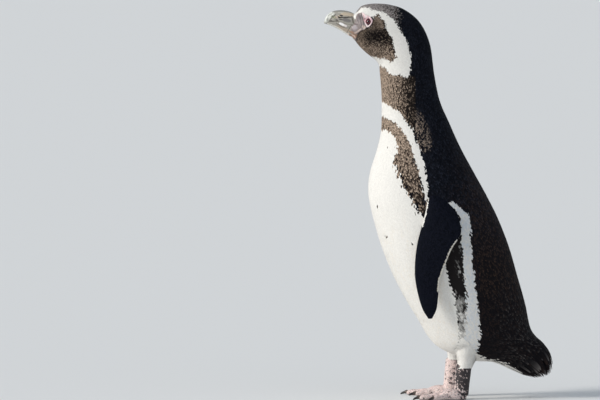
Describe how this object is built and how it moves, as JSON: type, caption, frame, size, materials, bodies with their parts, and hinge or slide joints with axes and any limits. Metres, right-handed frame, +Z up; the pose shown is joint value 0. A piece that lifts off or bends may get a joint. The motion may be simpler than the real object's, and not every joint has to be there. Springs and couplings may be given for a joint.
{
  "type": "magellanic penguin model",
  "caption": "Life-size still model of an adult Magellanic penguin, standing upright with its neck stretched and its flippers hanging at its sides.",
  "frame": {"origin": "on the floor, below the middle of the bird's own box", "axes": "+Z up, -Y ahead of the bird, +X to the bird's left"},
  "size_m": [0.1914, 0.3784, 0.6512],
  "materials": {
    "plumage": "soft matt feathers, black-brown above and white below",
    "bare_skin": "scaly skin, pinkish with dark mottles",
    "bill_horn": "semi-matt horn",
    "eye": "wet gloss",
    "claw_horn": "semi-gloss dark horn"
  },
  "bodies": {
    "root": {"head": "plumage", "neck": "plumage", "trunk": "plumage", "tail": "plumage", "bill_upper": "bill_horn", "bill_lower": "bill_horn", "eye_left": "eye", "eye_right": "eye", "flipper_left": "plumage", "flipper_right": "plumage", "leg_left": "plumage", "leg_right": "plumage", "foot_left": "bare_skin", "foot_right": "bare_skin", "claw_left_inner": "claw_horn", "claw_left_middle": "claw_horn", "claw_left_outer": "claw_horn", "claw_left_hind": "claw_horn", "claw_right_inner": "claw_horn", "claw_right_middle": "claw_horn", "claw_right_outer": "claw_horn", "claw_right_hind": "claw_horn"}
  },
  "joints": []
}
